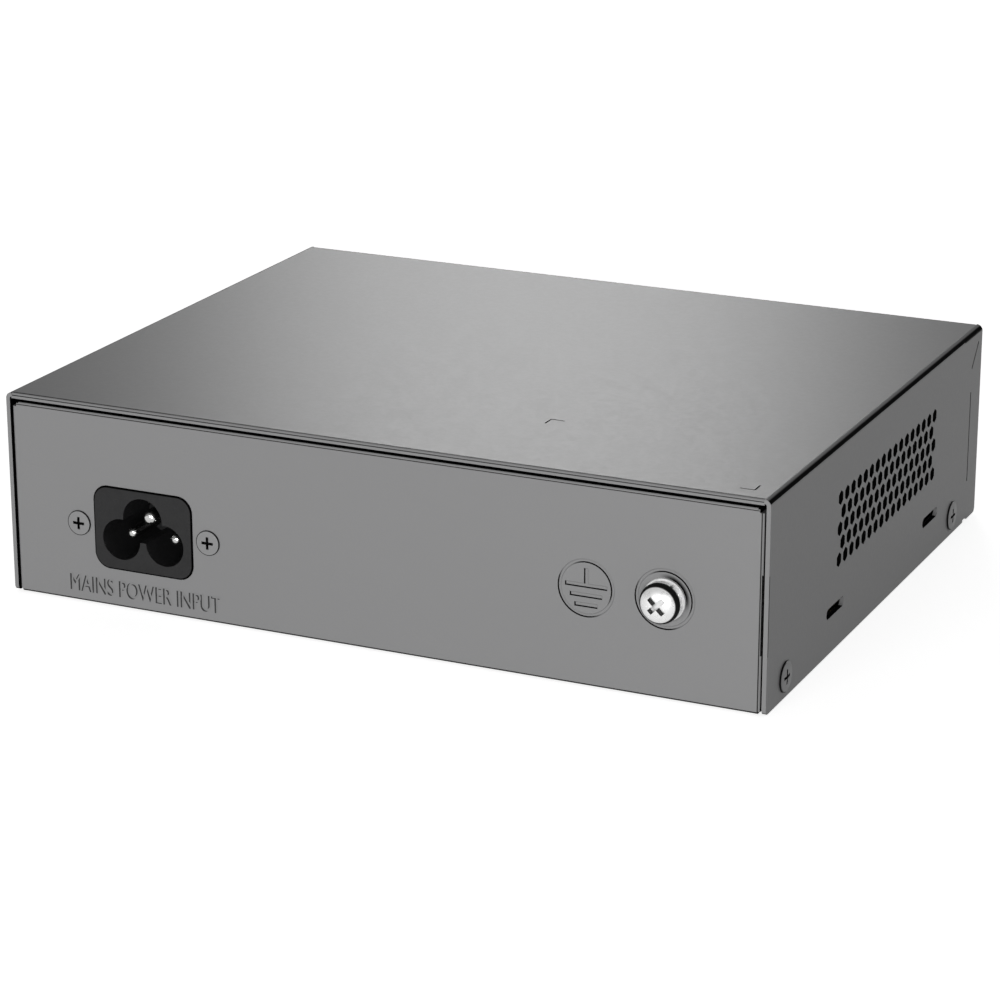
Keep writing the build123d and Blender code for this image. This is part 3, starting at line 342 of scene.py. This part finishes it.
def creases(paint):
    """Painted shade: thin dark lines where the lip and the tray's panels leave their bends, and at the
    panels' feet.
    """
    x, y, z = paint.axes()
    nx, ny, nz = paint.facing()
    reach = paint.unsigned(x)
    depth = paint.unsigned(y)
    facing_end = paint.over(paint.unsigned(ny), 0.8)
    under_lip = paint.under(reach, SIDE_X - LIP_INSET)
    lip_start = paint.all_of(paint.near(depth, COVER_END_Y - BEND, 0.25), paint.over(nz, 0.9),
                             paint.over(z, CASE_TOP - 0.1), under_lip)
    lip_end = paint.all_of(paint.near(z, CASE_TOP - BEND, 0.1), facing_end, under_lip,
                           paint.over(depth, COVER_END_Y - 0.1))
    on_panel = paint.all_of(facing_end, paint.near(depth, REAR_PANEL_Y, 0.1),
                            paint.under(reach, TRAY_SIDE_X))
    panel_top = paint.near(z, TRAY_TOP - BEND, 0.09)
    panel_end = paint.near(x, BEND - TRAY_SIDE_X, 0.12)
    panel_foot = paint.all_of(paint.under(z, 0.44), paint.near(depth, REAR_PANEL_Y, 0.4))
    panel = paint.all_of(on_panel, paint.any_of(panel_top, panel_end))
    return paint.any_of(lip_start, lip_end, panel, panel_foot)


def earth_shadow(paint):
    """Soft dark crescent on the rear panel beside the earth washer."""
    x, y, z = paint.axes()
    across = paint.minus(x, EARTH[0])
    up = paint.minus(z, EARTH[1])
    radius = paint.distance(across, up)
    toward = paint.minus(paint.math("MULTIPLY", up, 0.64), paint.math("MULTIPLY", across, 0.77))
    side = paint.ramp(paint.math("DIVIDE", toward, radius), 0.35, 0.95)
    return paint.all_of(paint.ramp(radius, *EARTH_SHADOW, 1.0, 0.0), side,
                        paint.near(y, REAR_PANEL_Y, 0.03), paint.band(radius, 1.0, EARTH_SHADOW[1]))


def screw_paint():
    """The coat on the countersunk heads, with painted shade: dark rims round them and dark cross recesses.
    """
    paint = Finish("screw_powder_coat", (0.24, 0.24, 0.242), 0.36)
    paint.glossy(0.3)
    paint.mottle(0.25, 0.06, 3.0)
    paint.rough(paint.grain(0.6, 0.3, 0.4))
    paint.bump(paint.grain(0.5), 0.005)
    x, y, z = paint.axes()
    nx, ny, nz = paint.facing()
    out_side = paint.all_of(paint.over(paint.unsigned(x), SIDE_X), paint.over(paint.unsigned(nx), 0.6))
    out_rear = paint.all_of(paint.over(y, REAR_PANEL_Y), paint.over(ny, 0.6))
    inside = paint.minus(1.0, paint.any_of(out_side, out_rear))
    paint.blacken(paint.any_of(inside, screw_rims(paint)))
    return paint.material


def screw_rims(paint):
    """Painted shade: a thin ring just inside each inlet screw's edge, and the rear half of each cover
    screw's edge.
    """
    x, y, z = paint.axes()
    across = paint.minus(paint.unsigned(paint.minus(x, INLET[0])), INLET_SCREW_REACH)
    radius = paint.distance(across, paint.minus(z, INLET[1]))
    rear = paint.all_of(paint.over(y, REAR_PANEL_Y - 0.3), paint.over(radius, INLET_SCREW_RIM))
    halves = []
    for screw_y in COVER_SCREW_Y:
        along = paint.minus(y, screw_y)
        edge = paint.distance(along, paint.minus(z, COVER_SCREW_Z))
        halves.append(paint.all_of(paint.band(along, 0.3, 4.0), paint.over(edge, COVER_SCREW_RIM)))
    side = paint.all_of(paint.over(paint.unsigned(x), SIDE_X - 0.3), paint.any_of(*halves))
    return paint.any_of(rear, side)


def inlet_plastic():
    """Black moulding of the inlet, with a painted shade line round its front face."""
    plastic = Finish("inlet_black", (0.0145, 0.0145, 0.015), 0.42)
    plastic.glossy(0.3)
    plastic.mottle(0.4, 0.15, 3.0)
    plastic.rough(plastic.grain(1.2, 0.36, 0.5))
    plastic.bump(plastic.grain(0.24), 0.01)
    x, y, z = plastic.axes()
    past = []
    for value, middle, half in ((x, INLET[0], INLET_FACE[0]), (z, INLET[1], INLET_FACE[1])):
        reach = plastic.unsigned(plastic.minus(value, middle))
        past.append(plastic.math("MAXIMUM", plastic.minus(reach, half - INLET_CORNER), 0.0))
    edge = plastic.all_of(plastic.over(plastic.distance(*past), INLET_CORNER - INLET_LINE),
                          plastic.over(y, REAR_PANEL_Y - 1.0))
    plastic.shade((0.0005, 0.0005, 0.0005), edge)
    plastic.shade(DULL, edge, "Specular Tint")
    return plastic.material


def bright_screw():
    """Bright plated pan head: satin crown, with a painted dark rim under it (painted shade and dark
    reflection) and painted shade on the walls of its cross recess.
    """
    metal = Finish("bright_screw_plate", (0.95, 0.95, 0.95), 0.3, 0.5)
    metal.mottle(0.5, 0.05, 3.0)
    metal.rough(metal.grain(1.0, 0.26, 0.36))
    metal.bump(metal.grain(0.5), 0.004)
    x, y, z = metal.axes()
    nx, ny, nz = metal.facing()
    radius = metal.distance(metal.minus(x, EARTH[0]), metal.minus(z, EARTH[1]))
    rim = metal.all_of(metal.ramp(radius, *EARTH_RIM), metal.under(ny, 0.8))
    recess = metal.all_of(metal.under(radius, EARTH_RECESS), metal.under(ny, 0.3))
    dark = metal.any_of(rim, recess)
    metal.shade((0.012, 0.012, 0.012), dark)
    metal.shade(DULL, dark, "Specular Tint")
    return metal.material


def legend_shade():
    """Painted shadow along a pressed letter's edge."""
    shade = Finish("pressed_edge_shadow", (0.02, 0.02, 0.02), 0.7)
    shade.mottle(0.3, 0.3)
    return shade.material


def legend_face():
    """The coat on the floor of a pressed letter, as the panel's but a touch darker."""
    face = Finish("pressed_letter_coat", (0.21, 0.21, 0.212), 0.4)
    face.glossy(0.35)
    face.mottle(0.28, 0.06, 3.0)
    face.rough(face.grain(0.9, 0.36, 0.42))
    face.bump(face.grain(0.55), 0.006)
    return face.material


def number_paint():
    """Screen printed white."""
    ink = Finish("printed_white", (0.78, 0.78, 0.76), 0.55)
    ink.mottle(0.12, 0.12, 4.0)
    ink.bump(ink.grain(0.2), 0.004)
    return ink.material


def moulded(name, colour, roughness, size=0.5, amount=0.12, depth=0.012):
    """Spark-eroded moulding: fine even grain with softly varied gloss."""
    plastic = Finish(name, colour, roughness)
    plastic.glossy(0.4)
    plastic.mottle(size, amount, 3.0)
    plastic.rough(plastic.grain(size * 3.0, roughness - 0.06, roughness + 0.08))
    plastic.bump(plastic.grain(size * 0.6), depth)
    return plastic.material


def polished(name, colour, roughness, along=EVEN, size=0.12, depth=0.002, metallic=1.0):
    """Bright metal with fine turning or drawing lines."""
    metal = Finish(name, colour, roughness, metallic)
    lines = metal.stretched(along)
    metal.mottle(size, 0.1, 3.0, lines)
    metal.rough(metal.grain(size * 2.0, roughness * 0.75, roughness * 1.4, 3.0, lines))
    metal.bump(metal.grain(size, 0.0, 1.0, 2.0, lines), depth)
    return metal.material


def sheathed(name, colour):
    """Drawn cable sheath: faint lines along it and a soft sheen."""
    sheath = Finish(name, colour, 0.45)
    sheath.mottle(0.25, 0.18, 3.0)
    sheath.rough(sheath.grain(0.5, 0.38, 0.52))
    sheath.bump(sheath.grain(0.35), 0.01)
    return sheath.material


def circuit_board(name, mask, copper, pitch):
    """Solder mask over copper: tracks stand a little proud and read lighter."""
    board = Finish(name, mask, 0.35)
    cells = board.node("ShaderNodeTexBrick")
    board.join(board.point, cells.inputs["Vector"])
    cells.inputs["Scale"].default_value = 1.0 / pitch
    cells.inputs["Mortar Size"].default_value = 0.06
    cells.inputs["Mortar Smooth"].default_value = 0.3
    cells.inputs["Brick Width"].default_value = 2.7
    cells.inputs["Row Height"].default_value = 0.5
    tracks = board.math("MULTIPLY", cells.outputs["Fac"], board.grain(9.0))
    board.mottle(0.6, 0.15)
    board.shade(copper, tracks)
    board.rough(board.grain(1.5, 0.28, 0.42))
    board.bump(tracks, 0.03)
    return board.material


def clear_guide():
    """Clear moulded acrylic."""
    guide = Finish("clear_acrylic", (0.93, 0.95, 0.95), 0.12)
    guide.shader.inputs["Transmission Weight"].default_value = 0.75
    guide.mottle(1.2, 0.06)
    guide.rough(guide.grain(0.8, 0.08, 0.2))
    return guide.material


def fuse_glass():
    """Clear glass tube."""
    glass = Finish("fuse_tube_glass", (0.94, 0.97, 0.96), 0.06)
    glass.shader.inputs["Transmission Weight"].default_value = 0.85
    glass.mottle(1.5, 0.05)
    glass.rough(glass.grain(2.0, 0.03, 0.12))
    return glass.material


def wound(name, colour, size, metallic, roughness, gap_shade):
    """Turns of wire or tape, size millimetres apart: rounded ridges, with painted shade darkening the gaps
    between them.
    """
    turns = Finish(name, colour, roughness, metallic)
    wave = turns.node("ShaderNodeTexWave", bands_direction="Z", wave_profile="SIN")
    turns.join(turns.point, wave.inputs["Vector"])
    wave.inputs["Scale"].default_value = 0.31 / size
    wave.inputs["Distortion"].default_value = 0.6
    turns.mottle(0.8, 0.15)
    turns.shade(gap_shade, turns.ramp(wave.outputs["Fac"], 0.0, 0.25, 0.85, 0.0))
    turns.rough(turns.grain(1.0, roughness * 0.8, roughness * 1.3))
    turns.bump(wave.outputs["Fac"], 0.08)
    return turns.material


def can_sleeve():
    """Shrunk sleeve over a can, with its ends bare metal where they face up."""
    sleeve = Finish("can_sleeve_black", (0.02, 0.022, 0.028), 0.3)
    sleeve.mottle(1.0, 0.25)
    nx, ny, nz = sleeve.facing()
    end = sleeve.ramp(nz, 0.85, 0.97)
    sleeve.shade((0.55, 0.55, 0.54), end)
    sleeve.join(end, sleeve.shader.inputs["Metallic"])
    sleeve.rough(sleeve.grain(1.4, 0.22, 0.38))
    sleeve.bump(sleeve.grain(0.9), 0.02)
    return sleeve.material


def heatsink_metal():
    """Black anodised extrusion with drawing lines along it."""
    metal = Finish("anodised_black", (0.035, 0.035, 0.038), 0.42, 0.6)
    lines = metal.stretched((4.0, 0.2, 4.0))
    metal.mottle(0.5, 0.25, 3.0, lines)
    metal.rough(metal.grain(0.6, 0.36, 0.5, 2.0, lines))
    metal.bump(metal.grain(0.4, 0.0, 1.0, 2.0, lines), 0.01)
    return metal.material


finishes = {
    grey_paint(): ("top_cover", "base_tray"),
    screw_paint(): ("cover_screws", "inlet_screws"),
    inlet_plastic(): ("ac_inlet_body",),
    polished("nickel_pin", (0.86, 0.86, 0.85), 0.16): (
        "inlet_pin_live", "inlet_pin_neutral", "inlet_pin_earth"),
    bright_screw(): ("earth_screw",),
    polished("bright_washer", (0.95, 0.95, 0.95), 0.35, EVEN, 0.5, 0.003, 0.3): (
        "earth_washer", "earth_lock_washer"),
    polished("zinc_plate", (0.62, 0.63, 0.64), 0.3, EVEN, 0.35): (
        "inlet_nuts", "earth_nut", "earth_terminal", "board_screws"),
    polished("brass_plate", (0.78, 0.6, 0.32), 0.3, (1.0, 1.0, 3.0)): ("board_standoffs",),
    sheathed("sheath_earth_green", (0.09, 0.32, 0.05)): ("earth_wire",),
    sheathed("sheath_brown", (0.14, 0.055, 0.025)): ("mains_wire_live",),
    sheathed("sheath_blue", (0.03, 0.11, 0.42)): ("mains_wire_neutral",),
    sheathed("sheath_red", (0.5, 0.025, 0.02)): ("output_wire_positive",),
    sheathed("sheath_black", (0.02, 0.02, 0.022)): ("output_wire_negative",),
    circuit_board("board_green", (0.018, 0.11, 0.045), (0.05, 0.22, 0.08), 2.4): ("main_board",),
    circuit_board("board_tan", (0.32, 0.21, 0.08), (0.42, 0.3, 0.13), 4.0): ("psu_board",),
    moulded("insulating_sheet_black", (0.03, 0.03, 0.034), 0.5, 2.0, 0.2, 0.02): ("insulating_sheet",),
    moulded("jack_black", (0.022, 0.022, 0.023), 0.45): ("powered_jack_housing", "uplink_jack_housing"),
    polished("tinned_shield", (0.66, 0.66, 0.64), 0.28, (0.25, 1.0, 3.0), 0.3, 0.004): (
        "powered_jack_shield", "uplink_jack_shield"),
    polished("gilt", (0.9, 0.68, 0.3), 0.2): ("powered_jack_contacts", "uplink_jack_contacts"),
    clear_guide(): ("light_guide",),
    moulded("lamp_diffuser", (0.62, 0.66, 0.58), 0.35): ("status_lamps",),
    moulded("chip_black", (0.03, 0.03, 0.032), 0.5, 0.35, 0.2, 0.014): (
        "port_magnetics_1", "port_magnetics_2", "port_magnetics_3", "port_magnetics_4", "port_magnetics_5",
        "port_magnetics_6", "switch_chip", "power_controller", "memory_chip", "power_inductor",
        "bridge_rectifier", "power_transistor", "output_rectifier"),
    heatsink_metal(): ("switch_heatsink", "primary_heatsink", "secondary_heatsink"),
    polished("crystal_steel", (0.7, 0.7, 0.69), 0.26, (0.3, 1.0, 1.0)): ("clock_crystal",),
    fuse_glass(): ("mains_fuse",),
    moulded("holder_black", (0.035, 0.035, 0.035), 0.5): ("fuse_holder",),
    moulded("film_box_yellow", (0.62, 0.42, 0.05), 0.42): ("filter_capacitor",),
    wound("copper_turns", (0.62, 0.26, 0.11), 0.7, 0.8, 0.32, (0.08, 0.03, 0.015)): ("line_choke",),
    can_sleeve(): ("bulk_capacitor", "rail_capacitors", "output_capacitors"),
    moulded("ferrite_grey", (0.06, 0.06, 0.064), 0.6, 0.6, 0.25, 0.03): ("transformer_core",),
    wound("tape_yellow", (0.66, 0.5, 0.1), 3.0, 0.0, 0.4, (0.3, 0.2, 0.04)): ("transformer_winding",),
    moulded("socket_white", (0.66, 0.64, 0.58), 0.45): ("output_socket", "input_socket"),
}

for finish, nodes in finishes.items():
    for name in nodes:
        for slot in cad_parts[name].material_slots:
            slot.material = finish


# Lettering. Each word is a flat curve made a mesh, then put on its panel.

def lettering(name, words, size, place, right, material, squeeze=1.0):
    """Centre the words on place, reading along right (+1 or -1 on X), upright, cap height 0.7 of size."""
    curve = bpy.data.curves.new(name + "_curve", "FONT")
    curve.body = words
    curve.size = size
    curve.align_x = "CENTER"
    curve.resolution_u = 6
    source = bpy.data.objects.new(name + "_source", curve)
    bpy.context.collection.objects.link(source)
    flat = bpy.data.meshes.new_from_object(source.evaluated_get(bpy.context.evaluated_depsgraph_get()))
    bpy.data.objects.remove(source)
    corners = np.empty(len(flat.vertices) * 3)
    flat.vertices.foreach_get("co", corners)
    along, up = corners.reshape(-1, 3).T[:2]
    x0, y0, z0 = place
    placed = np.column_stack((x0 + right * squeeze * along, np.full_like(up, y0), z0 + up)) * MM
    flat.vertices.foreach_set("co", placed.ravel())
    flat.materials.clear()
    flat.materials.append(material)
    flat.name = name
    piece = bpy.data.objects.new(name, flat)
    bpy.context.collection.objects.link(piece)
    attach(piece, "root")


LEGEND_WORDS = "MAINS POWER INPUT"
LEGEND_SIZE = 4.75
LEGEND_SQUEEZE = 0.708
LEGEND_PLACE = (INLET[0], REAR_PANEL_Y + 0.025, 2.2)
LEGEND_SHADOW_PLACE = (INLET[0] + 0.37, REAR_PANEL_Y + 0.01, 2.0)
# The first copy is a dark sheet of painted shadow, set left and down under the letters so it shows along
# their left and bottom edges.
legend_shadow_coat = legend_shade()
legend_coat = legend_face()
for name, place, coat in (("rear_legend_painted_shadow", LEGEND_SHADOW_PLACE, legend_shadow_coat),
                          ("rear_legend", LEGEND_PLACE, legend_coat)):
    lettering(name, LEGEND_WORDS, LEGEND_SIZE, place, -1, coat, LEGEND_SQUEEZE)

PORT_X = (-48.0, -34.0, -20.0, -6.0, 19.0, 33.0)
NUMBER_SIZE = 3.4
NUMBER_Z = 28.2
white_ink = number_paint()
for number, port_x in enumerate(PORT_X, 1):
    lettering("port_number_%d" % number, str(number), NUMBER_SIZE,
              (port_x, FRONT_PANEL_Y - 0.02, NUMBER_Z), 1, white_ink)


# Floor, light and camera

FLOOR_GLOW = (("Is Camera Ray", 0.76), ("Is Glossy Ray", 0.37), ("Is Transmission Ray", 0.37))


def pale_floor():
    """Matt white floor: it takes the object's shadow, and shows white to the camera and in reflections."""
    floor = bpy.data.materials.new("pale_floor")
    floor.use_nodes = True
    nodes, links = floor.node_tree.nodes, floor.node_tree.links
    nodes.clear()
    matt = nodes.new("ShaderNodeBsdfDiffuse")
    matt.inputs["Color"].default_value = (0.8, 0.8, 0.8, 1.0)
    glow = nodes.new("ShaderNodeEmission")
    glow.inputs["Color"].default_value = (1.0, 1.0, 1.0, 1.0)
    path = nodes.new("ShaderNodeLightPath")
    levels = []
    for ray, strength in FLOOR_GLOW:
        level = nodes.new("ShaderNodeMath")
        level.operation = "MULTIPLY"
        links.new(path.outputs[ray], level.inputs[0])
        level.inputs[1].default_value = strength
        levels.append(level.outputs[0])
    strongest = levels[0]
    for other in levels[1:]:
        larger = nodes.new("ShaderNodeMath")
        larger.operation = "MAXIMUM"
        links.new(strongest, larger.inputs[0])
        links.new(other, larger.inputs[1])
        strongest = larger.outputs[0]
    links.new(strongest, glow.inputs["Strength"])
    both = nodes.new("ShaderNodeAddShader")
    links.new(matt.outputs[0], both.inputs[0])
    links.new(glow.outputs[0], both.inputs[1])
    output = nodes.new("ShaderNodeOutputMaterial")
    links.new(both.outputs[0], output.inputs["Surface"])
    return floor


def make_floor(half=8.0, drop=0.0002):
    """A square of floor just under the case."""
    mesh = bpy.data.meshes.new("studio_floor")
    corners = [(-half, -half, -drop), (half, -half, -drop), (half, half, -drop), (-half, half, -drop)]
    mesh.from_pydata(corners, [], [(0, 1, 2, 3)])
    mesh.materials.append(pale_floor())
    floor = bpy.data.objects.new("studio_floor", mesh)
    bpy.context.collection.objects.link(floor)


LAMP_AIM = np.array((0.0, 0.0, 0.02))


def softbox(name, azimuth, elevation, distance, width, height, power):
    """A lamp seen from the object at an azimuth from +Y towards +X, turned to face the object."""
    lamp = bpy.data.lights.new(name, "AREA")
    lamp.shape = "RECTANGLE"
    lamp.size = width
    lamp.size_y = height
    lamp.energy = power
    holder = bpy.data.objects.new(name, lamp)
    bpy.context.collection.objects.link(holder)
    a, e = math.radians(azimuth), math.radians(elevation)
    back = np.array((math.sin(a) * math.cos(e), math.cos(a) * math.cos(e), math.sin(e)))
    holder.matrix_world = looking(LAMP_AIM + distance * back, back)
    holder.visible_camera = False
    return holder


def looking(place, back):
    """A matrix at place whose own -Z points against back, upright."""
    depth = Vector(back).normalized()
    side = Vector((0.0, 0.0, 1.0)).cross(depth).normalized()
    rise = depth.cross(side)
    turn = Matrix((side, rise, depth)).transposed().to_4x4()
    turn.translation = Vector(place)
    return turn


make_floor()
softbox("rear_key", -8.0, 6.0, 0.95, 0.8, 0.16, 7.55)
softbox("sheen_box", 156.1, 22.3, 1.25, 0.318, 0.212, 2.33)
front_fill = softbox("front_fill", 180.0, 4.0, 1.3, 1.2, 0.1, 10.0)
front_fill.visible_glossy = False

world = bpy.data.worlds.new("studio")
world.use_nodes = True
sky = world.node_tree.nodes["Background"]
sky.inputs["Color"].default_value = (1.0, 1.0, 1.0, 1.0)
sky.inputs["Strength"].default_value = 0.2
bpy.context.scene.world = world

CAMERA_AZIMUTH = 204.74
CAMERA_ELEVATION = 18.62
CAMERA_TARGET = np.array((-10.063, 26.929, 20.03)) * MM
CAMERA_DISTANCE = 639.6 * MM
CAMERA_LENS = 120.98
azimuth, elevation = math.radians(CAMERA_AZIMUTH), math.radians(CAMERA_ELEVATION)
camera_back = np.array((math.sin(azimuth) * math.cos(elevation), -math.cos(azimuth) * math.cos(elevation),
                        math.sin(elevation)))
camera_data = bpy.data.cameras.new("camera")
camera_data.lens = CAMERA_LENS
camera_data.sensor_width = 36.0
camera_data.clip_end = 60.0
camera = bpy.data.objects.new("camera", camera_data)
bpy.context.collection.objects.link(camera)
camera.matrix_world = looking(CAMERA_TARGET + CAMERA_DISTANCE * camera_back, camera_back)
bpy.context.scene.camera = camera
bpy.context.scene.view_settings.view_transform = "Standard"
